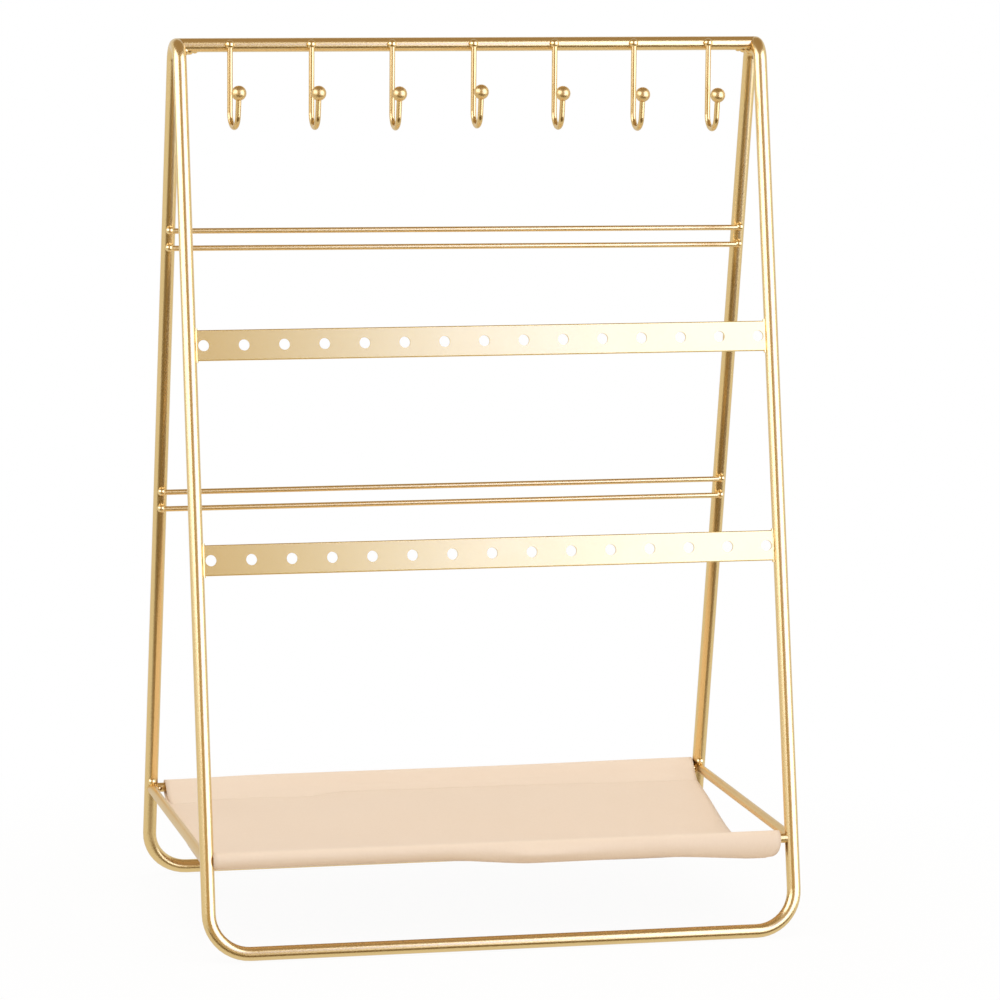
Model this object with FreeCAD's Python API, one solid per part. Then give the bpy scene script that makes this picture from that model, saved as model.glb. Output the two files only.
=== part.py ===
import FreeCAD
import Part
import math
import os

# Jewellery stand: one round rod folded into an A-frame, with hooks, necklace rails,
# pierced earring strips and a slung tray. Sizes are in millimetres. X runs across the
# stand, -Y is the front, +Z is up, and the origin is the middle of the footprint.

# Frame rod
FRAME_HEIGHT = 320.5
LEG_SPACING = 214.0
FOOT_SPACING = 143.6
ROD_DIAMETER = 5.0
APEX_BEND_RADIUS = 7.0
FOOT_BEND_RADIUS = 14.5

# Hooks on the top rail
HOOK_END_MARGIN = 18.2
# Each hand-welded hook's shift along the rail, its turn to the right in degrees, and how much
# lower it hangs
HOOK_SEATS = (
    (0.5, 7, -0.4),
    (0.5, 3, -0.2),
    (0.4, 2.5, 0.2),
    (0.8, 2.3, -0.3),
    (1.2, 3, 0.4),
    (1.2, 3.4, 1.0),
    (-0.4, 4, 1.4),
)
HOOK_WIRE = 2.0
HOOK_LAP = 0.9
HOOK_DROP = 29.2
HOOK_BEND_RADIUS = 5.0
HOOK_ARM = 8.3
HOOK_SPLAY_ANGLE = 8.0
HOOK_BALL = 5.4

# Necklace rails on the rear legs, in two pairs
NECKLACE_WIRE = 2.0
NECKLACE_PAIR_HEIGHTS = {"upper": 246.9, "lower": 149.0}
# How far a hand-welded pair's right end rises above its middle
NECKLACE_PAIR_TILTS = {"upper": -0.65, "lower": 0.0}
NECKLACE_PAIR_SPACING = 6.4
NECKLACE_OVERHANG = 0.7

# Pierced earring strips between the front legs
STRIP_HEIGHTS = {"upper": 213.3, "lower": 138.6}
STRIP_WIDTH = 11.0
STRIP_THICKNESS = 1.2
STRIP_EDGE_RADIUS = 0.45
EARRING_HOLE = 4.0
EARRING_HOLE_COUNT = 15
EARRING_HOLE_MARGIN = 2.6

# Tray bars and sling
TRAY_HEIGHT = 34.8
TRAY_BAR = 3.5
SLING_THICKNESS = 0.9
SLING_SAG = 12.5
SLING_LOWEST_FORWARD = 20.0
SLING_SIDE_GAP = 1.5
SLING_BAR_CLEARANCE = 0.15
SLING_REAR_HEM = 15.0
SLING_FRONT_HEM = 14.0

# Welds
LAP_DEPTH = 0.3
SIDE_BAR_WELD = 3.4
SIDE_BAR_WELD_RISE = 1.0
CROSS_BAR_WELD = 2.6
CROSS_BAR_WELD_RISE = 0.3
STRIP_WELD = 2.0
STRIP_WELD_REACH = 0.55
STRIP_WELD_OVERRUN = 0.6
NECKLACE_WELD = 3.0
NECKLACE_WELD_RISE = 0.2
HOOK_WELD = 3.3
HOOK_WELD_REACH = 0.4
HOOK_WELD_RISE = 0.3
TOP_RAIL_WELD = 4.4
TOP_RAIL_WELD_DROP = 1.7
TOP_RAIL_WELD_LUMPS = 3
TOP_RAIL_WELD_STEP = 2.0
TOP_RAIL_WELD_SHRINK = 0.45

# Places that follow from the sizes
ROD_RADIUS = ROD_DIAMETER / 2
LEG_X = LEG_SPACING / 2
FOOT_Y = FOOT_SPACING / 2
TOP_Z = FRAME_HEIGHT - ROD_RADIUS
APEX_CENTRE_RISE = TOP_Z - APEX_BEND_RADIUS - ROD_RADIUS
LEAN = math.atan2(FOOT_Y, APEX_CENTRE_RISE)
LEAN -= math.asin(APEX_BEND_RADIUS / math.hypot(FOOT_Y, APEX_CENTRE_RISE))
APEX_CORNER_Z = TOP_Z - APEX_BEND_RADIUS + APEX_BEND_RADIUS / math.sin(LEAN)
FRONT_OUT = FreeCAD.Vector(0, -math.cos(LEAN), math.sin(LEAN))
FRONT_UP = FreeCAD.Vector(0, math.sin(LEAN), math.cos(LEAN))
REAR_IN = FreeCAD.Vector(0, -math.cos(LEAN), -math.sin(LEAN))
REAR_UP = FreeCAD.Vector(0, -math.sin(LEAN), math.cos(LEAN))
ACROSS = FreeCAD.Vector(1, 0, 0)
SIDES = {"left": -1, "right": 1}


def leg_y(z):
    """Distance of a leg's centreline from the middle plane at height z."""
    return (APEX_CORNER_Z - z) * math.tan(LEAN)


def bar_between(start, end, diameter):
    run = end.sub(start)
    return Part.makeCylinder(diameter / 2, run.Length, start, run)


def bend_about(centre, axis, start, degrees, diameter):
    """A rod's bend: a disc at start turned about an axis through centre."""
    heading = axis.cross(start.sub(centre))
    disc = Part.Face(Part.Wire(Part.makeCircle(diameter / 2, start, heading)))
    return disc.revolve(centre, axis, degrees)


def rounded_corner(before, corner, after, radius, diameter):
    """The bend at one corner of a bent rod, with the points where it starts and ends."""
    back = before.sub(corner).normalize()
    ahead = after.sub(corner).normalize()
    half_turn = (math.pi - back.getAngle(ahead)) / 2
    start = corner + back * (radius * math.tan(half_turn))
    end = corner + ahead * (radius * math.tan(half_turn))
    centre = corner + (back + ahead).normalize() * (radius / math.cos(half_turn))
    axis = start.sub(centre).cross(end.sub(centre)).normalize()
    return bend_about(centre, axis, start, math.degrees(2 * half_turn), diameter), start, end


def closed_bent_rod(corners, radii, diameter):
    """One unbroken loop of rod through the corners, each rounded by its radius."""
    count = len(corners)
    bends = []
    for i in range(count):
        after = corners[(i + 1) % count]
        bends.append(rounded_corner(corners[i - 1], corners[i], after, radii[i], diameter))
    pieces = [bend[0] for bend in bends]
    for i in range(count):
        next_start = bends[(i + 1) % count][1]
        pieces.append(bar_between(bends[i][2], next_start, diameter))
    return pieces[0].multiFuse(pieces[1:]).removeSplitter()


def make_frame_rod():
    corners = [
        FreeCAD.Vector(-LEG_X, -FOOT_Y, ROD_RADIUS),
        FreeCAD.Vector(-LEG_X, 0, APEX_CORNER_Z),
        FreeCAD.Vector(-LEG_X, FOOT_Y, ROD_RADIUS),
        FreeCAD.Vector(LEG_X, FOOT_Y, ROD_RADIUS),
        FreeCAD.Vector(LEG_X, 0, APEX_CORNER_Z),
        FreeCAD.Vector(LEG_X, -FOOT_Y, ROD_RADIUS),
    ]
    half_radii = [FOOT_BEND_RADIUS, APEX_BEND_RADIUS, FOOT_BEND_RADIUS]
    return closed_bent_rod(corners, half_radii * 2, ROD_DIAMETER)


def make_top_rail(frame):
    ends = [FreeCAD.Vector(side * LEG_X, 0, TOP_Z) for side in SIDES.values()]
    return bar_between(ends[0], ends[1], ROD_DIAMETER).cut(frame)


def make_top_rail_welds(frame, rail):
    """A run of shrinking lumps in the corner under each end of the top rail."""
    beads = []
    for side in SIDES.values():
        lumps = []
        for i in range(TOP_RAIL_WELD_LUMPS):
            inward = ROD_RADIUS + i * TOP_RAIL_WELD_STEP
            place = FreeCAD.Vector(side * (LEG_X - inward), 0, TOP_Z - TOP_RAIL_WELD_DROP)
            lumps.append(Part.makeSphere(TOP_RAIL_WELD / 2 - i * TOP_RAIL_WELD_SHRINK, place))
        beads.append(lumps[0].multiFuse(lumps[1:]).cut(frame).cut(rail))
    return beads


def hook_places():
    """Each hook's place along the rail, its turn and its extra drop."""
    first = -LEG_X + HOOK_END_MARGIN
    pitch = (LEG_SPACING - 2 * HOOK_END_MARGIN) / (len(HOOK_SEATS) - 1)
    places = []
    for i, (shift, turn, lower) in enumerate(HOOK_SEATS):
        places.append((first + i * pitch + shift, turn, lower))
    return places


def make_hook(x, turn, lower, rail):
    """A wire lapped on the rail's front, bent up towards the viewer, and its ball tip."""
    stem_y = -(ROD_RADIUS + HOOK_WIRE / 2 - LAP_DEPTH)
    bend_z = TOP_Z - HOOK_DROP - lower + HOOK_BEND_RADIUS
    stem_top = FreeCAD.Vector(x, stem_y, TOP_Z + HOOK_LAP)
    stem_end = FreeCAD.Vector(x, stem_y, bend_z)
    centre = FreeCAD.Vector(x, stem_y - HOOK_BEND_RADIUS, bend_z)
    sweep = math.radians(180 - HOOK_SPLAY_ANGLE)
    out = FreeCAD.Vector(0, math.cos(sweep), -math.sin(sweep))
    bend_end = centre + out * HOOK_BEND_RADIUS
    arm = FreeCAD.Vector(0, -math.sin(math.pi - sweep), math.cos(math.pi - sweep))
    tip = bend_end + arm * HOOK_ARM
    bend = bend_about(centre, ACROSS * -1, stem_end, math.degrees(sweep), HOOK_WIRE)
    straights = [bar_between(stem_top, stem_end, HOOK_WIRE), bar_between(bend_end, tip, HOOK_WIRE)]
    ball = Part.makeSphere(HOOK_BALL / 2, tip)
    wire = bend.multiFuse(straights).removeSplitter()
    for piece in (ball, wire):
        piece.rotate(stem_top, FreeCAD.Vector(0, 0, 1), turn)
    return wire.cut(rail).cut(ball), ball


def make_hook_weld(x, rail, wire):
    """A bead on the front of the rail that covers the end of a hook."""
    seat = FreeCAD.Vector(x, -ROD_RADIUS - HOOK_WELD_REACH, TOP_Z + HOOK_WELD_RISE)
    return Part.makeSphere(HOOK_WELD / 2, seat).cut(rail).cut(wire)


def make_necklace_rail(height, tilt, frame):
    """A wire across the front of both rear legs."""
    offset = REAR_IN * (ROD_RADIUS + NECKLACE_WIRE / 2 - LAP_DEPTH)
    middle = FreeCAD.Vector(0, leg_y(height), height) + offset
    reach = ACROSS * (LEG_X + NECKLACE_OVERHANG) + REAR_UP * tilt
    return bar_between(middle - reach, middle + reach, NECKLACE_WIRE).cut(frame)


def make_necklace_welds(height, tilt, frame, rail):
    """A bead over each end of a wire, where it crosses a rear leg."""
    offset = REAR_IN * (ROD_RADIUS + NECKLACE_WIRE / 2 - LAP_DEPTH)
    seat = FreeCAD.Vector(0, leg_y(height), height) + offset
    beads = []
    for side in SIDES.values():
        rise = side * tilt + NECKLACE_WELD_RISE
        place = seat + ACROSS * (side * LEG_X) + REAR_UP * rise
        beads.append(Part.makeSphere(NECKLACE_WELD / 2, place).cut(frame).cut(rail))
    return beads


def make_earring_strip(height, frame):
    """A strip with rounded long edges in the plane of the front legs, pierced with a row of holes."""
    middle = FreeCAD.Vector(0, -leg_y(height), height)
    low_corner = middle - ACROSS * LEG_X - FRONT_UP * (STRIP_WIDTH / 2) + FRONT_OUT * (STRIP_THICKNESS / 2)
    blank = Part.makeBox(LEG_SPACING, STRIP_THICKNESS, STRIP_WIDTH)
    long_edges = [edge for edge in blank.Edges if edge.Length > STRIP_WIDTH]
    blank = blank.makeFillet(STRIP_EDGE_RADIUS, long_edges)
    blank.rotate(FreeCAD.Vector(0, 0, 0), ACROSS, -math.degrees(LEAN))
    blank.translate(low_corner)
    first = -LEG_X + ROD_RADIUS + EARRING_HOLE_MARGIN
    pitch = -2 * first / (EARRING_HOLE_COUNT - 1)
    drills = []
    for i in range(EARRING_HOLE_COUNT):
        start = middle + ACROSS * (first + i * pitch) - FRONT_OUT * STRIP_THICKNESS
        drills.append(Part.makeCylinder(EARRING_HOLE / 2, 2 * STRIP_THICKNESS, start, FRONT_OUT))
    return blank.cut(frame).cut(Part.makeCompound(drills))


def make_strip_welds(height, frame, strip):
    """A bead along the leg at each end of a strip."""
    middle = FreeCAD.Vector(0, -leg_y(height), height)
    half_run = FRONT_UP * (STRIP_WIDTH / 2 + STRIP_WELD_OVERRUN)
    bead_x = LEG_X - ROD_RADIUS - STRIP_WELD_REACH + STRIP_WELD / 2
    beads = []
    for side in SIDES.values():
        place = middle + ACROSS * (side * bead_x)
        bead = bar_between(place - half_run, place + half_run, STRIP_WELD)
        beads.append(bead.cut(frame).cut(strip))
    return beads


def tray_bar_ends():
    """Each tray bar's two ends, on the centrelines of the legs that it joins."""
    bar_y = leg_y(TRAY_HEIGHT)
    corner = {}
    for name, side in SIDES.items():
        corner["front", name] = FreeCAD.Vector(side * LEG_X, -bar_y, TRAY_HEIGHT)
        corner["rear", name] = FreeCAD.Vector(side * LEG_X, bar_y, TRAY_HEIGHT)
    return {
        "front": (corner["front", "left"], corner["front", "right"]),
        "rear": (corner["rear", "left"], corner["rear", "right"]),
        "left_side": (corner["front", "left"], corner["rear", "left"]),
        "right_side": (corner["front", "right"], corner["rear", "right"]),
    }


def make_tray_bar_weld(here, there):
    """A bead where a tray bar butts against a leg: above a side bar, and behind a cross bar."""
    along = there.sub(here).normalize()
    place = here + along * ROD_RADIUS
    if abs(along.y) > abs(along.x):
        place.z += TRAY_BAR / 2 + SIDE_BAR_WELD_RISE
        return Part.makeSphere(SIDE_BAR_WELD / 2, place)
    place.y -= math.copysign(TRAY_BAR / 2 + CROSS_BAR_WELD_RISE, here.y)
    bead = Part.makeSphere(CROSS_BAR_WELD / 2, place)
    # The sphere's seam is turned to the side that stays in the open
    bead.rotate(place, FreeCAD.Vector(0, 0, 1), 0 if along.x > 0 else 180)
    return bead


def arc_band(centre, radius, start_angle, end_angle, width):
    """A curved sheet of the sling's thickness: part of a tube about an axis along X."""
    outer = Part.makeCylinder(radius + SLING_THICKNESS / 2, width, centre, ACROSS)
    inner = Part.makeCylinder(radius - SLING_THICKNESS / 2, width, centre, ACROSS)
    reach = 2 * radius
    points = [centre]
    for angle in (start_angle, end_angle):
        points.append(centre + FreeCAD.Vector(0, math.sin(angle), -math.cos(angle)) * reach)
    wedge = Part.Face(Part.makePolygon(points + [centre])).extrude(ACROSS * width)
    return outer.cut(inner).common(wedge)


def make_sling():
    """A sagging sheet whose front and rear edges are hemmed into sleeves round the tray bars."""
    bar_y = leg_y(TRAY_HEIGHT)
    width = LEG_SPACING - ROD_DIAMETER - 2 * SLING_SIDE_GAP
    lowest = FreeCAD.Vector(-width / 2, -SLING_LOWEST_FORWARD, TRAY_HEIGHT - SLING_SAG)
    sleeve_bore = TRAY_BAR / 2 + SLING_BAR_CLEARANCE
    pieces = []
    bores = []
    # The rear hem lies on top of the sheet and the front hem under it
    for side, hem, layer in ((-1, SLING_FRONT_HEM, 1), (1, SLING_REAR_HEM, -1)):
        reach = bar_y - side * lowest.y
        radius = (reach ** 2 + SLING_SAG ** 2) / (2 * SLING_SAG)
        end_angle = side * math.asin(reach / radius)
        hem_angle = end_angle - side * hem / radius
        centre = lowest + FreeCAD.Vector(0, 0, radius)
        hem_radius = radius + layer * SLING_THICKNESS
        bar_start = FreeCAD.Vector(-width / 2, side * bar_y, TRAY_HEIGHT)
        pieces.append(arc_band(centre, radius, 0, end_angle, width))
        pieces.append(arc_band(centre, hem_radius, hem_angle, end_angle, width))
        pieces.append(Part.makeCylinder(sleeve_bore + SLING_THICKNESS, width, bar_start, ACROSS))
        bores.append(Part.makeCylinder(sleeve_bore, width, bar_start, ACROSS))
    body = pieces[0].multiFuse(pieces[1:])
    return body.cut(bores).removeSplitter()


def solids_of(shapes):
    return Part.makeCompound([solid for shape in shapes for solid in shape.Solids])


def build():
    nodes = {}
    frame = make_frame_rod()
    nodes["frame_rod"] = frame
    top_rail = make_top_rail(frame)
    nodes["top_rail"] = top_rail
    nodes["top_rail_welds"] = solids_of(make_top_rail_welds(frame, top_rail))

    hook_welds = []
    for number, (x, turn, lower) in enumerate(hook_places(), start=1):
        wire, ball = make_hook(x, turn, lower, top_rail)
        nodes[f"hook_wire_{number}"] = wire
        nodes[f"hook_ball_{number}"] = ball
        hook_welds.append(make_hook_weld(x, top_rail, wire))
    nodes["hook_welds"] = solids_of(hook_welds)

    necklace_welds = []
    for pair, middle in NECKLACE_PAIR_HEIGHTS.items():
        for place, step in {"top": 0.5, "bottom": -0.5}.items():
            height = middle + step * NECKLACE_PAIR_SPACING
            tilt = NECKLACE_PAIR_TILTS[pair]
            rail = make_necklace_rail(height, tilt, frame)
            nodes[f"necklace_rail_{pair}_{place}"] = rail
            necklace_welds += make_necklace_welds(height, tilt, frame, rail)
    nodes["necklace_rail_welds"] = solids_of(necklace_welds)

    strip_welds = []
    for name, height in STRIP_HEIGHTS.items():
        strip = make_earring_strip(height, frame)
        nodes[f"earring_strip_{name}"] = strip
        strip_welds += make_strip_welds(height, frame, strip)
    nodes["earring_strip_welds"] = solids_of(strip_welds)

    bar_ends = tray_bar_ends()
    bars = {name: bar_between(*ends, TRAY_BAR).cut(frame) for name, ends in bar_ends.items()}
    blocks = [frame] + list(bars.values())
    bar_welds = []
    for name, ends in bar_ends.items():
        nodes[f"tray_{name}_bar"] = bars[name]
        for here, there in (ends, ends[::-1]):
            bead = make_tray_bar_weld(here, there).cut(blocks)
            blocks.append(bead)
            bar_welds.append(bead)
    nodes["tray_bar_welds"] = solids_of(bar_welds)
    nodes["tray_sling"] = make_sling()
    return nodes


os.makedirs("parts", exist_ok=True)
for node, shape in build().items():
    shape.exportStep(f"parts/{node}.step")
    box = shape.BoundBox
    print(f"{node}: solids {len(shape.Solids)}, volume {shape.Volume:.1f}, valid {shape.isValid()},"
          f" z {box.ZMin:.2f} to {box.ZMax:.2f}")
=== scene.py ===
# %% [markdown]
# # A gold wire jewellery stand with a slung tray
# The stand is a satin gold rod folded into an A-frame. Seven ball-tipped hooks hang from its
# top rail, two pairs of thin rails cross the rear legs, two pierced strips cross the front legs,
# and a pale leather sling hangs between two bars near the foot.
# The metal was measured and built beforehand, so this lesson loads it as a fixed frame. It then
# gives every metal piece a finish, sews the sling, and sets up a small photo studio.

# %% Load the fixed frame
import math

import bmesh
import bpy
from mathutils import Matrix, Vector, noise


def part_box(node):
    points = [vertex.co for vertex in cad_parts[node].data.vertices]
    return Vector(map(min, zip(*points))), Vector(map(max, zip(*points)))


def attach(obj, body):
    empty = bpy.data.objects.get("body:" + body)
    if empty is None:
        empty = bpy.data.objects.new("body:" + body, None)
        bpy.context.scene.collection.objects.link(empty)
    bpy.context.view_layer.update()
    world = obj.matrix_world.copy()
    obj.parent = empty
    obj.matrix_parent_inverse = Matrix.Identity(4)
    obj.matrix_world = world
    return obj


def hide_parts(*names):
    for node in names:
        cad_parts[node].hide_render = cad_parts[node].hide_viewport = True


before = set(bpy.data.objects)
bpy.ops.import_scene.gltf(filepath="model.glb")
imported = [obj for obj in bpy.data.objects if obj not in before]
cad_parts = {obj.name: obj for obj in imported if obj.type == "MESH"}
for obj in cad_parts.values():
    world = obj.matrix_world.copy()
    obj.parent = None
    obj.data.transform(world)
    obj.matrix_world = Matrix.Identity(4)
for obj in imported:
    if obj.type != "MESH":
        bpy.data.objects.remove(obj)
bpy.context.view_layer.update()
MM = 0.001
print("loaded", len(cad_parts), "metal and sling pieces")

# %% [markdown]
# ## The camera
# The stand was photographed from a little to the left and a little above, with a long lens. A
# long lens keeps upright legs nearly parallel. The camera could be aimed with a constraint, but
# three plain angles say more clearly how it stands: it turns right, looks down and tips slightly.

# %% Set up the camera
CAMERA_PLACE = (-0.378445, -1.719767, 0.410695)
CAMERA_TURN = math.radians(-12.8093)
CAMERA_LOOK = math.radians(90 - 8.3709)
CAMERA_TIP = math.radians(0.4645)
CAMERA_LENS = 174.89
CAMERA_SENSOR = 36

scene = bpy.context.scene
camera_data = bpy.data.cameras.new("long_lens")
camera_data.lens = CAMERA_LENS
camera_data.sensor_width = CAMERA_SENSOR
camera = bpy.data.objects.new("photo_camera", camera_data)
scene.collection.objects.link(camera)
turn = Matrix.Rotation(CAMERA_TURN, 4, "Z")
look = Matrix.Rotation(CAMERA_LOOK, 4, "X")
tip = Matrix.Rotation(CAMERA_TIP, 4, "Z")
camera.matrix_world = Matrix.Translation(CAMERA_PLACE) @ turn @ look @ tip
scene.camera = camera
scene.view_settings.view_transform = "Standard"
print("camera lens", round(camera_data.lens, 1), "mm")

# %% [markdown]
# ## Shader sums
# A finish is a sum of patterns, such as a base grain plus a few pits. Wiring each sum by hand
# hides the idea, so one small class wraps a node's output and lets plus, minus and times add
# the Math nodes. Every other kind of node comes from its one method, `node`.

# %% A socket that works in sums
class Socket:
    """One output of a shader node, used in sums like a number."""

    def __init__(self, tree, output=None):
        self.tree = tree
        self.output = output

    def node(self, kind, settings=None, inputs=None, result=0):
        """Adds a node: first its settings, then the values or links of its sockets."""
        made = self.tree.nodes.new(kind)
        for name, value in (settings or {}).items():
            setattr(made, name, value)
        for name, value in (inputs or {}).items():
            if isinstance(value, Socket):
                self.tree.links.new(value.output, made.inputs[name])
            else:
                made.inputs[name].default_value = value
        output = made.outputs[result] if made.outputs else None
        return Socket(self.tree, output)

    def sum(self, operation, first, second):
        return self.node("ShaderNodeMath", {"operation": operation}, {0: first, 1: second})

    def __add__(self, other):
        return self.sum("ADD", self, other)

    def __sub__(self, other):
        return self.sum("SUBTRACT", self, other)

    def __rsub__(self, other):
        return self.sum("SUBTRACT", other, self)

    def __mul__(self, other):
        return self.sum("MULTIPLY", self, other)

    __radd__ = __add__
    __rmul__ = __mul__


def new_paint(name):
    """An empty material, as a socket to start its nodes from."""
    material = bpy.data.materials.new(name)
    material.use_nodes = True
    material.node_tree.nodes.clear()
    return material, Socket(material.node_tree)


def blend_colours(factor, first, second):
    colours = {0: factor, 6: (*first, 1), 7: (*second, 1)}
    return factor.node("ShaderNodeMix", {"data_type": "RGBA"}, colours, result=2)


def show(paint, shader):
    paint.node("ShaderNodeOutputMaterial", inputs={"Surface": shader})


print("shader sums are ready")

# %% [markdown]
# ## Satin gold
# The steel is plated in a pale champagne gold and left satin. Up close the plating is not even:
# it has a fine grain, tiny pits, and slow changes of tone. Images could carry all that, but noise
# on Object coordinates is the same size everywhere on a long bent rod and needs no unwrapping.
# One recipe serves all the metal, and each piece changes the grain, the gloss and the tone.

# %% The gold recipe
CHAMPAGNE = (0.87, 0.642, 0.298)
DEEP_GOLD = (0.80, 0.565, 0.236)
OLD_GOLD = (0.74, 0.505, 0.200)
TONE_SCALE = 38
PIT_SCALE = 0.35


def gold(name, grain, depth, gloss, pale=CHAMPAGNE, deep=DEEP_GOLD, stretch=(1, 1, 1)):
    """Satin gold: grain is its size in metres, depth its height, and gloss its roughness."""
    material, paint = new_paint(name)
    place = paint.node("ShaderNodeTexCoord", result="Object")
    drawn = paint.node("ShaderNodeMapping", inputs={"Vector": place, "Scale": stretch})
    tone = paint.node("ShaderNodeTexNoise", inputs={"Vector": place, "Scale": TONE_SCALE, "Detail": 3})
    fine = paint.node("ShaderNodeTexNoise", inputs={"Vector": drawn, "Scale": 1 / grain, "Detail": 4})
    pitting = {"Vector": drawn, "Scale": PIT_SCALE / grain, "Detail": 2}
    pits = paint.node("ShaderNodeTexNoise", inputs=pitting)
    rough = gloss + 0.08 * (fine - 0.5) + 0.06 * (tone - 0.5)
    height = fine + 0.8 * pits
    bump = paint.node("ShaderNodeBump", inputs={"Strength": 1.0, "Distance": depth, "Height": height})
    worn = 0.45 * (tone + fine) - 0.1
    shader = paint.node("ShaderNodeBsdfPrincipled", inputs={
        "Base Color": blend_colours(worn, pale, deep),
        "Metallic": 1.0,
        "Roughness": rough,
        "Normal": bump,
    })
    show(paint, shader)
    return material


def finish(material, *names):
    """Gives the named frame pieces one material."""
    for name in names:
        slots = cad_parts[name].data.materials
        slots.clear()
        slots.append(material)
    print(material.name, "on", len(names), "pieces")


print("the gold recipe is ready")

# %% [markdown]
# ## Rods
# The frame rod and the top rail are 5 mm rod, and the tray bars are thinner. Their grain shows as
# a ragged edge where a bright reflection meets a dark one, so it is coarse and fairly deep. The
# tray bars are a little more matte, and their deeper gold is painted shade, for the darker
# reflections that they show.

# %% Finish the rods
ROD_GRAIN = 0.45 * MM
rod_gold = gold("satin_gold_rod", ROD_GRAIN, 0.012 * MM, 0.25)
finish(rod_gold, "frame_rod", "top_rail")
# The deeper gold on the tray bars is painted shade, for their darker reflections.
shaded_bar_gold = gold("satin_gold_tray_bar_painted_shade", ROD_GRAIN, 0.010 * MM, 0.32, DEEP_GOLD, OLD_GOLD)
sides = ("front", "rear", "left_side", "right_side")
finish(shaded_bar_gold, *[f"tray_{side}_bar" for side in sides])

# %% [markdown]
# ## Thin wires and ball tips
# The hooks and the necklace rails are 2 mm wire, drawn smooth before plating, so their grain is
# only a trace, and the hooks are a little glossier than the rods. The ball tips were tumbled smooth
# and are more matte, so each shows one soft highlight. The plating of the hooks and the balls is
# deeper in tone.

# %% Finish the wires and the balls
HOOKS = range(1, 8)
WIRE_GRAIN = 0.3 * MM
WIRE_GRAIN_DEPTH = 0.0015 * MM
wire_gold = gold("drawn_gold_wire", WIRE_GRAIN, WIRE_GRAIN_DEPTH, 0.22, DEEP_GOLD, OLD_GOLD)
finish(wire_gold, *[f"hook_wire_{i}" for i in HOOKS])
rails = [f"necklace_rail_{pair}_{place}" for pair in ("upper", "lower") for place in ("top", "bottom")]
rail_gold = gold("drawn_gold_rail", WIRE_GRAIN, WIRE_GRAIN_DEPTH, 0.25)
finish(rail_gold, *rails)
ball_gold = gold("satin_gold_ball", 0.5 * MM, 0.002 * MM, 0.33, DEEP_GOLD, OLD_GOLD)
finish(ball_gold, *[f"hook_ball_{i}" for i in HOOKS])

# %% [markdown]
# ## Earring strips
# The strips are rolled flat stock with rounded edges. Rolling leaves a very fine grain that runs
# along the strip, so the recipe's pattern is stretched along X. A flat face shows one soft piece of
# the room, which changes slowly from gold at one end to cream at the other. The plating is a little
# yellower here than on the rods.

# %% Finish the strips
STRIP_GOLD = (0.90, 0.672, 0.265)
STRIP_SHADE = (0.84, 0.598, 0.214)
ROLLED = (0.5, 1, 1)
strip_gold = gold("rolled_gold_strip", 0.35 * MM, 0.004 * MM, 0.24, STRIP_GOLD, STRIP_SHADE, ROLLED)
finish(strip_gold, "earring_strip_upper", "earring_strip_lower")

# %% [markdown]
# ## Weld beads
# Each joint has a small bead where the metal flowed. It sets smooth and glossy with a lumpy skin,
# so its grain is large and its roughness low.

# %% Finish the welds
weld_gold = gold("flowed_gold_weld", 1.3 * MM, 0.05 * MM, 0.18)
welds = ("top_rail", "hook", "necklace_rail", "earring_strip", "tray_bar")
finish(weld_gold, *[f"{joint}_welds" for joint in welds])

# %% [markdown]
# ## The sling's shape
# The tray is one sheet of faux leather. Its front end goes over the front bar and is glued under
# the sheet. Its rear end goes under the rear bar, back over it, and is glued on top, where its
# cut edge shows. Between the bars it sags, lowest towards the front.
# A cloth simulation could find the sag, but the two loops round the bars are small and must stay
# round. So the section is drawn by spinning one vertex: about the sag's centre, then about the
# bar, then back along the hem. Each new vertex keeps its distance along the flat sheet.

# %% Sizes of the sling
SHEET = 0.9 * MM
SAG = 12.5 * MM
SAG_FORWARD = 20 * MM
PINCH = 11 * MM
REAR_SLEEVE = 2.35 * MM
REAR_HEM = 15 * MM
FRONT_SLEEVE = 2.25 * MM
FRONT_HEM = 14 * MM
LEFT_END = -102.4 * MM
RIGHT_END = 103.2 * MM
SLING_WIDTH = RIGHT_END - LEFT_END

bar_low, bar_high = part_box("tray_rear_bar")
BAR_OUT = (bar_low[1] + bar_high[1]) / 2
BAR_UP = (bar_low[2] + bar_high[2]) / 2


def part(x, low, high):
    """How far x has gone from low to high, from 0 to 1."""
    return min(max((x - low) / (high - low), 0.0), 1.0)


def ease(x):
    """Bends a straight 0 to 1 into one that starts and ends gently."""
    return x * x * (3 - 2 * x)


def between(x, low, high):
    return ease(part(x, low, high))


print("bars", round(BAR_OUT / MM, 1), "mm from the middle and", round(BAR_UP / MM, 1), "mm up")

# %% [markdown]
# The end of each hem is pared thin before it is glued, as leather workers do, so that its cut
# edge makes only a low step. The share of the full thickness is kept on each vertex as a weight,
# which the Solidify modifier reads later.

# %% Draw the section by spinning a vertex
PARED = 5 * MM
PARED_SHARE = 0.06
GLUE_PRESS = 0.02 * MM
SHEET_STEPS = 44
SLEEVE_STEPS = 18
HEM_STEPS = 18


def swing(bm, start, centre, angle, steps, forward):
    """Spins the vertex start about an axis along X, and returns the new vertices in order."""
    count = len(bm.verts)
    axis_place = (start.co.x, centre.x, centre.y)
    bmesh.ops.spin(bm, geom=[start], cent=axis_place, axis=(1, 0, 0), angle=angle, steps=steps)
    bm.verts.ensure_lookup_table()
    arc = bm.verts[count:]
    radius = math.hypot(start.co.y - centre.x, start.co.z - centre.y)
    for i, vert in enumerate(arc, start=1):
        vert[along] = start[along] + forward * radius * abs(angle) * i / steps
        vert[weight][0] = 1.0
    return arc


def push_out(vert, centre, distance):
    """Moves a vertex away from the sag's centre."""
    way = Vector((0, vert.co.y - centre.x, vert.co.z - centre.y)).normalized()
    vert.co += way * distance


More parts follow.
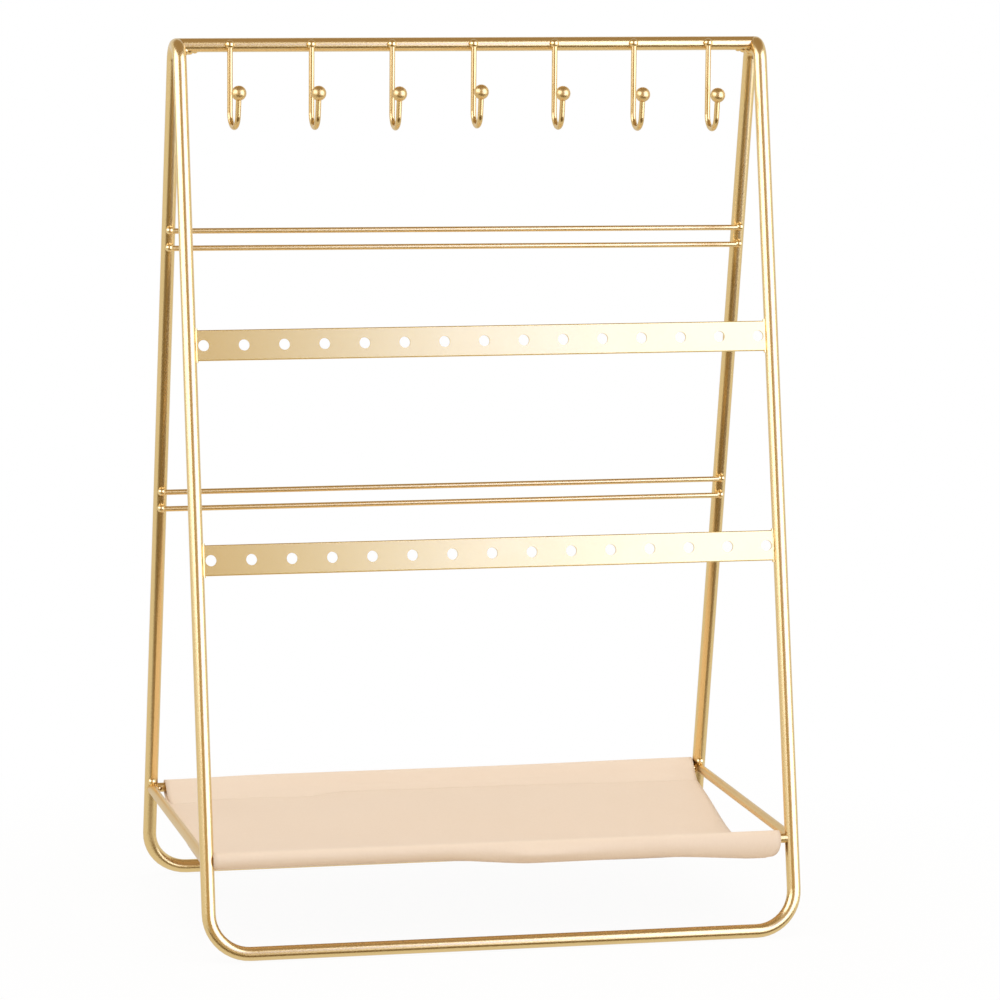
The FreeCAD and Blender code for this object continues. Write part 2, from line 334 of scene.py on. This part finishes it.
def draw_half(bm, lowest, side, sleeve, hem):
    """Sheet, sleeve and hem on one side: side is 1 for the rear and -1 for the front."""
    bar = Vector((side * BAR_OUT, BAR_UP))
    reach = abs(bar.x - lowest.co.y)
    radius = (reach ** 2 + SAG ** 2) / (2 * SAG)
    centre = Vector((lowest.co.y, lowest.co.z + radius))
    angle = math.asin(reach / radius)
    sheet = swing(bm, lowest, centre, side * angle, SHEET_STEPS, side)
    for vert in sheet:
        to_bar = radius * angle - abs(vert[along])
        push_out(vert, centre, side * sleeve * (1 - between(to_bar, 0, PINCH)))
    loop = swing(bm, sheet[-1], bar, math.pi, SLEEVE_STEPS, side)
    flap = swing(bm, loop[-1], centre, -side * hem / radius, HEM_STEPS, side)
    for vert in flap:
        from_bar = abs(vert[along] - loop[-1][along])
        vert[weight][0] = 1 - (1 - PARED_SHARE) * between(from_bar, hem - PARED, hem)
        glued_gap = SHEET * (1 + vert[weight][0]) / 2 - GLUE_PRESS
        push_out(vert, centre, side * (sleeve - glued_gap) * between(from_bar, 0, PINCH))
    return sheet[-1][along], loop[-1][along], flap[-1][along]


sling_mesh = bmesh.new()
along = sling_mesh.verts.layers.float.new("along")
weight = sling_mesh.verts.layers.deform.verify()
lowest = sling_mesh.verts.new((LEFT_END, -SAG_FORWARD, BAR_UP - SAG))
lowest[weight][0] = 1.0
FOLD_START, FOLD_END, FOLD_HEM = draw_half(sling_mesh, lowest, 1, REAR_SLEEVE, REAR_HEM)
ROLL_START, ROLL_END, ROLL_HEM = draw_half(sling_mesh, lowest, -1, FRONT_SLEEVE, FRONT_HEM)
cut_length = FOLD_HEM - ROLL_HEM
print("flat cut", round(cut_length / MM, 1), "mm long and", round(SLING_WIDTH / MM, 1), "mm wide")

# %% [markdown]
# ## From section to sheet
# The section is pulled across the stand and divided into columns. The flat cut's own map is stored
# now, while every vertex still knows its place on the flat sheet.

# %% Pull the section across the stand
ACROSS_STEPS = 120

edges = sling_mesh.edges[:]
pulled = bmesh.ops.extrude_edge_only(sling_mesh, edges=edges)["geom"]
far_side = [g for g in pulled if isinstance(g, bmesh.types.BMVert)]
bmesh.ops.translate(sling_mesh, verts=far_side, vec=(SLING_WIDTH, 0, 0))
across_edges = [e for e in sling_mesh.edges if abs(e.verts[0].co.x - e.verts[1].co.x) > MM]
bmesh.ops.subdivide_edges(sling_mesh, edges=across_edges, cuts=ACROSS_STEPS - 1, use_grid_fill=True)
cut_map = sling_mesh.loops.layers.uv.new("cut")
for face in sling_mesh.faces:
    face.smooth = True
    for corner in face.loops:
        corner[cut_map].uv = (corner.vert.co.x, corner.vert[along])
print("the sheet has", len(sling_mesh.faces), "faces")

# %% [markdown]
# ## A sheet that has been used
# The real sheet is not even. It hangs deeper at the right, the front roll is loose there and
# starts with a small wave in the middle, the corner of its hem is rounded off, and the rear hem
# was cut by hand, so it is long at the left and short elsewhere. Sculpting would do it, but a few
# small moves in code can be read and changed. Each works from two numbers: how far across the
# stand a vertex is, and how far along the sheet. A hem moves with the sheet that it is glued to.

# %% Helpers for the moves
HEM_SLOPE = Vector((0, -0.97, -0.24))
SHORTEST_HEM = 0.73


def dent(x, place, width):
    """1 at a place, fading to 0 about a width away."""
    return math.exp(-((x - place) / width) ** 2)


def hem_stretch(share):
    """How long the rear hem is at a share of the width, compared with the drawn one."""
    left_corner = 0.22 * (1 - between(share, 0.03, 0.09))
    left_part = 0.23 * (1 - between(share, 0.25, 0.33)) + 0.07 * dent(share, 0.24, 0.05)
    right_part = 0.11 * between(share, 0.6, 1.0)
    return SHORTEST_HEM + left_corner + left_part + right_part


def sheet_place(share, s):
    """The place along the sheet itself: a hem's is that of the sheet it lies on."""
    if s > FOLD_END:
        return FOLD_START - (s - FOLD_END) * hem_stretch(share)
    if s < ROLL_END:
        return ROLL_START + (ROLL_END - s)
    return min(max(s, ROLL_START), FOLD_START)


for place, share in {"at the left": 0, "in the middle": 0.5, "at the right": 1}.items():
    print("the rear hem is", round(REAR_HEM * hem_stretch(share) / MM, 1), "mm long", place)

# %% [markdown]
# Four moves follow: the hanging sheet between the bars, the front roll, the rear fold, and the two
# ends. They are kept apart so that each can be switched off to see what it does.

# %% The hanging sheet and the front roll
DEEPER_AT_RIGHT = 5.0 * MM
HIGHER_ALL_OVER = 3.1 * MM
STIFF_REAR = 1.6 * MM
STIFF_FRONT = 2.2 * MM
SWELL = 0.3 * MM
LOOSE_MIDDLE = 2.35 * MM
LOOSE_RIGHT = 1.9 * MM
WAVE_PLACE = 0.545
WAVE_FORWARD = 1.6 * MM
WAVE_DOWN = 0.2 * MM
ROLL_CROWN = 0.3 * MM


def bulge(x, place, reach):
    """1 at a place, easing to 0 a reach away."""
    return ease(1 - min(abs(x - place) / reach, 1))


def sag_moves(share, under):
    """How much higher the hanging sheet is than the drawn one."""
    hang = ease(1 - under / (FOLD_START if under > 0 else ROLL_START))
    deeper = DEEPER_AT_RIGHT * between(share, 0, 0.8) - HIGHER_ALL_OVER
    stiff_rear = STIFF_REAR * bulge(under, 55 * MM, 30 * MM)
    stiff_front = STIFF_FRONT * bulge(under, -24 * MM, 24 * MM)
    swell = SWELL * noise.noise(Vector((share * 4.5, under * 30, 4.0)))
    return Vector((0, 0, stiff_rear + stiff_front + (swell - deeper) * hang))


def roll_moves(share, s):
    """How the front roll sits: crowned on top, loose below at the right, with a wave between."""
    turned = between(-s, -ROLL_START, -ROLL_END)
    free = 1 - between(-s, -ROLL_END, -ROLL_END + PINCH)
    loose = LOOSE_MIDDLE * between(share, 0.38, 0.55) + LOOSE_RIGHT * between(share, 0.78, 0.97)
    wave_width = 0.035 if share < WAVE_PLACE else 0.10
    wave = dent(share, WAVE_PLACE, wave_width) * dent(turned, 0.72, 0.25) * free
    crown = ROLL_CROWN * (1 - turned) * (1 - between(s, ROLL_START, ROLL_START + PINCH))
    return Vector((0, -WAVE_FORWARD * wave, crown - loose * turned * free - WAVE_DOWN * wave))


print("the sheet hangs", round(DEEPER_AT_RIGHT / MM, 1), "mm deeper at the right")

# %% [markdown]
# The other two moves shape the edges that show most. The rear sleeve is tight on its bar at the
# left and fuller at the right. The two cut ends wander by a few millimetres, as a hand-cut sheet
# does, and the roll's right corner is rounded off.

# %% The rear fold and the two ends
FULLER_FROM_LEFT = 0.7 * MM
FULLER_AT_RIGHT = 0.6 * MM
CORNER_ROUNDING = 5.2 * MM
END_SHARE = 0.9


def fold_moves(share, s):
    """How the rear sleeve and its hem sit: tight on the bar at the left, fuller at the right."""
    over = between(s, FOLD_START, FOLD_END) * (1 - between(s, FOLD_END, FOLD_END + PINCH))
    slide = max(s - FOLD_END, 0) * (hem_stretch(share) - 1)
    fuller = FULLER_FROM_LEFT * between(share, 0, 0.2) + FULLER_AT_RIGHT * between(share, 0.6, 1.0)
    return Vector((0, 0, fuller * over)) + HEM_SLOPE * slide


def end_moves(share, s, under):
    """How much further right an end of the sheet is than the drawn one."""
    at_front = between(-under, 36 * MM, -ROLL_START)
    at_rear = between(under, FOLD_START - 15 * MM, FOLD_START)
    hem = part(s, FOLD_END, FOLD_HEM)
    left = (1.25 * at_rear + 1.5 * hem - dent(under, 70 * MM, 20 * MM) - 2.35 * at_front - 0.2) * MM
    right = (0.1 + 0.8 * at_rear + 0.4 * dent(under, 20 * MM, 20 * MM) - 0.85 * at_front) * MM
    lower = part(-s, -0.6 * ROLL_START - 0.4 * ROLL_END, -ROLL_END)
    rounded = CORNER_ROUNDING * (1 - math.sqrt(1 - lower ** 2))
    across = left * between(1 - share, END_SHARE, 1) + (right - rounded) * between(share, END_SHARE, 1)
    return Vector((across, 0, 0))


print("the roll's corner is rounded by", round(CORNER_ROUNDING / MM, 1), "mm")

# %% [markdown]
# Now each vertex is moved by the sum of its four moves. The moves only read where the vertex was
# drawn, so their order does not matter.

# %% Settle the sheet
for vert in sling_mesh.verts:
    share = (vert.co.x - LEFT_END) / SLING_WIDTH
    s = vert[along]
    under = sheet_place(share, s)
    vert.co += sag_moves(share, under) + roll_moves(share, s)
    vert.co += fold_moves(share, s) + end_moves(share, s, under)
print("the lowest point is now", round(min(v.co.z for v in sling_mesh.verts) / MM, 1), "mm up")

# %% [markdown]
# ## Thickness
# The sheet becomes an object, and a Solidify modifier gives it 0.9 mm of leather: the face on one
# side, the backing on the other and the bare cut round the edge. Its upper side must be the one
# that the normals point to, so the faces are turned over if needed.

# %% Make the sling
bmesh.ops.recalc_face_normals(sling_mesh, faces=sling_mesh.faces[:])
tray_middle = Vector((0, -SAG_FORWARD, BAR_UP - SAG))
tray_face = min(sling_mesh.faces, key=lambda f: (f.calc_center_median() - tray_middle).length)
if tray_face.normal.z < 0:
    bmesh.ops.reverse_faces(sling_mesh, faces=sling_mesh.faces[:])
sling_data = bpy.data.meshes.new("leather_sling")
sling_mesh.to_mesh(sling_data)
sling_mesh.free()
sling = bpy.data.objects.new("leather_sling", sling_data)
scene.collection.objects.link(sling)
sling.vertex_groups.new(name="pared")

thickness = sling.modifiers.new("thickness", "SOLIDIFY")
thickness.thickness = SHEET
thickness.offset = 0
thickness.use_even_offset = True
thickness.vertex_group = "pared"
thickness.material_offset = 1
thickness.material_offset_rim = 2

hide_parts("tray_sling")
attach(sling, "root")
print("sling made from", len(sling_data.vertices), "vertices")

# %% [markdown]
# ## Faux leather
# The face is a matte blush coat with a fine pebble grain. The back is a slightly paler brushed
# finish, which shows where the rear hem is turned over, and the cut edge is a bare warm core. The
# grain must run round the folds, so all three read the flat cut's map and not Object coordinates.

# %% Finish the sling
BLUSH = (0.865, 0.700, 0.545)
BLUSH_SHADE = (0.825, 0.650, 0.490)
BACKING = (0.872, 0.710, 0.556)
BACKING_SHADE = (0.835, 0.664, 0.505)
CORE = (0.86, 0.70, 0.55)
CORE_SHADE = (0.82, 0.65, 0.50)
CLOUD_SCALE = 28
FIBRE_SCALE = 2.5
LEATHER_SHINE = 0.2


def leather(name, pale, shade, pebble, depth, gloss):
    """Matte faux leather: pebble is the grain's size in metres and depth its height."""
    material, paint = new_paint(name)
    cut = paint.node("ShaderNodeUVMap", {"uv_map": "cut"})
    pebbles = {"Vector": cut, "Scale": 1 / pebble}
    grain = paint.node("ShaderNodeTexVoronoi", {"feature": "SMOOTH_F1"}, pebbles)
    fibres = {"Vector": cut, "Scale": FIBRE_SCALE / pebble, "Detail": 3}
    fibre = paint.node("ShaderNodeTexNoise", inputs=fibres)
    cloud = paint.node("ShaderNodeTexNoise", inputs={"Vector": cut, "Scale": CLOUD_SCALE, "Detail": 4})
    height = 0.7 * grain + 0.5 * fibre
    bump = paint.node("ShaderNodeBump", inputs={"Strength": 1.0, "Distance": depth, "Height": height})
    tone = 0.6 * cloud + 0.35 * grain
    shader = paint.node("ShaderNodeBsdfPrincipled", inputs={
        "Base Color": blend_colours(tone, pale, shade),
        "Roughness": gloss + 0.15 * (fibre - 0.5),
        "Specular IOR Level": LEATHER_SHINE,
        "Normal": bump,
    })
    show(paint, shader)
    return material


face_leather = leather("blush_leather_face", BLUSH, BLUSH_SHADE, 0.7 * MM, 0.05 * MM, 0.58)
back_leather = leather("brushed_leather_back", BACKING, BACKING_SHADE, 0.5 * MM, 0.04 * MM, 0.72)
edge_leather = leather("cut_leather_edge", CORE, CORE_SHADE, 0.4 * MM, 0.05 * MM, 0.80)
for material in (face_leather, back_leather, edge_leather):
    sling_data.materials.append(material)
print("the sling has", len(sling_data.materials), "finishes")

# %% [markdown]
# ## Studio floor
# The stand is on a white table with a white background. A white surface under even light is never
# quite white in a picture, so where the camera looks at the floor, most of what it sees glows at
# exactly white. Near the stand part of it stays plain diffuse, which keeps the shadow, in a warm
# off-white that sends a little warm light back up. The metal looks past the floor into a pale room,
# because a table's edge would be too near in its reflections.

# %% Build the floor and the white background
FLOOR_SIZE = 2.4
FLOOR_DROP = 0.2 * MM
FLOOR_WHITE = (0.86, 0.80, 0.72)
GLOW_WHITE = (1, 1, 1)
SHADOW_FADE_START = 0.15
SHADOW_REACH = 0.30
SHADOW_SHARE = 0.05
WORLD_LIGHT = 0.66
ROOM_LIGHT = 0.80


def ray_is(paint, kind):
    return paint.node("ShaderNodeLightPath", result=f"Is {kind} Ray")


def flat_panel(name, width, depth, place):
    """A flat panel made of one grid, moved to its place."""
    bm = bmesh.new()
    bmesh.ops.create_grid(bm, x_segments=1, y_segments=1, size=0.5)
    bmesh.ops.scale(bm, verts=bm.verts[:], vec=(width, depth, 1))
    bmesh.ops.transform(bm, verts=bm.verts[:], matrix=place)
    mesh = bpy.data.meshes.new(name)
    bm.to_mesh(mesh)
    bm.free()
    panel = bpy.data.objects.new(name, mesh)
    scene.collection.objects.link(panel)
    return panel


floor = flat_panel("studio_floor", FLOOR_SIZE, FLOOR_SIZE, Matrix.Translation((0, 0, -FLOOR_DROP)))
floor.visible_glossy = False
white_floor, paint = new_paint("white_floor")
spot = paint.node("ShaderNodeTexCoord", result="Object")
away = paint.node("ShaderNodeVectorMath", {"operation": "LENGTH"}, {0: spot}, result="Value")
near = paint.node("ShaderNodeMapRange", {"interpolation_type": "SMOOTHSTEP"}, {
    "Value": away,
    "From Min": SHADOW_FADE_START,
    "From Max": SHADOW_REACH,
    "To Min": SHADOW_SHARE,
    "To Max": 0.0,
})
matte = paint.node("ShaderNodeBsdfDiffuse", inputs={"Color": (*FLOOR_WHITE, 1)})
glow = paint.node("ShaderNodeEmission", inputs={"Color": (*GLOW_WHITE, 1), "Strength": 1.0})
glowing = (ray_is(paint, "Camera") + ray_is(paint, "Transmission")) * (1 - near)
show(paint, paint.node("ShaderNodeMixShader", inputs={0: glowing, 1: matte, 2: glow}))
floor.data.materials.append(white_floor)

studio = bpy.data.worlds.new("white_studio")
scene.world = studio
studio.use_nodes = True
studio.node_tree.nodes.clear()
sky = Socket(studio.node_tree)
seen = ray_is(sky, "Camera") + ray_is(sky, "Transmission")
level = WORLD_LIGHT + (1 - WORLD_LIGHT) * seen + (ROOM_LIGHT - WORLD_LIGHT) * ray_is(sky, "Glossy")
white = sky.node("ShaderNodeBackground", inputs={"Color": (*GLOW_WHITE, 1), "Strength": level})
sky.node("ShaderNodeOutputWorld", inputs={"Surface": white})
print("floor", FLOOR_SIZE, "m wide")

# %% [markdown]
# ## Soft lamps
# A large softbox hangs overhead, a little in front of the stand, and gives most of the lamplight,
# so the roll's upper half is bright and its lower half is shaded. A weak one at the right opens up
# the shadows. Metal has no matte light at all, it only reflects, so what the metal shows is set up
# apart in the next step, and these lamps stay out of its reflections.

# %% Hang the softboxes
UPRIGHT = Matrix.Rotation(math.radians(90), 4, "X")
TILTED = Matrix.Rotation(math.radians(11), 4, "X")


def standing(turned, distance, height):
    """Where an upright panel stands: turned is its angle from the front towards the right."""
    turn = Matrix.Rotation(math.radians(turned), 4, "Z")
    return turn @ Matrix.Translation((0, -distance, height)) @ UPRIGHT


def softbox(name, width, height, place, glow):
    """A rectangular lamp in metres, where glow is how bright its front is."""
    data = bpy.data.lights.new(name, "AREA")
    data.shape = "RECTANGLE"
    data.size = width
    data.size_y = height
    data.energy = glow * math.pi * width * height
    lamp = bpy.data.objects.new(name, data)
    scene.collection.objects.link(lamp)
    lamp.matrix_world = place
    lamp.visible_camera = False
    lamp.visible_glossy = False
    print(name, round(data.energy, 1), "W")


softbox("top_softbox", 1.6, 1.5, Matrix.Translation((0, -0.25, 1.24)) @ TILTED, 1.20)
softbox("right_softbox", 1.2, 1.3, standing(44, 1.1, 0.65), 0.4)

# %% [markdown]
# ## What the metal reflects
# Shiny metal in an all-white room looks flat. Photographers stand bright and dark cards just out of
# sight, so that each rod gets a bright line and a dark one. These cards show only in reflections.
# Two bright ones stand at the left and the right, cool like daylight. A small bluer one stands in
# front of the right one, where the flat strips look, so that they fade to cream and do not burn
# out. The dark ones are warm brown, like a wooden room: one on the camera's side, one low in front,
# and one overhead.

# %% Stand the cards
def reflection_card(name, width, depth, place, colour):
    """A glowing card in metres that only reflections see."""
    card = flat_panel(name, width, depth, place)
    material, paint = new_paint(name)
    show(paint, paint.node("ShaderNodeEmission", inputs={"Color": (*colour, 1), "Strength": 1.0}))
    card.data.materials.append(material)
    card.visible_camera = False
    card.visible_diffuse = False
    card.visible_transmission = False
    card.visible_shadow = False
    print(name, "of", width, "by", depth, "m")


reflection_card("bright_card_right", 1.24, 1.45, standing(42.8, 1.10, 0.62), (2.4, 2.7, 3.9))
reflection_card("cool_card_right", 0.345, 0.50, standing(19.1, 1.08, 0.53), (1.29, 1.66, 3.95))
reflection_card("bright_card_left", 1.46, 1.06, standing(-70.5, 1.10, 0.80), (2.3, 2.6, 3.7))
reflection_card("dark_card_camera", 1.38, 1.60, standing(-18.5, 1.45, 0.60), (0.52, 0.39, 0.19))
reflection_card("dark_card_low", 2.40, 1.05, Matrix.Translation((0, -0.945, -0.35)), (0.19, 0.13, 0.05))
reflection_card("dark_card_overhead", 3.00, 3.00, Matrix.Translation((0, 0.2, 1.5)), (0.40, 0.30, 0.19))

# %% [markdown]
# ## The end

# %% Finish
print("the scene is built")
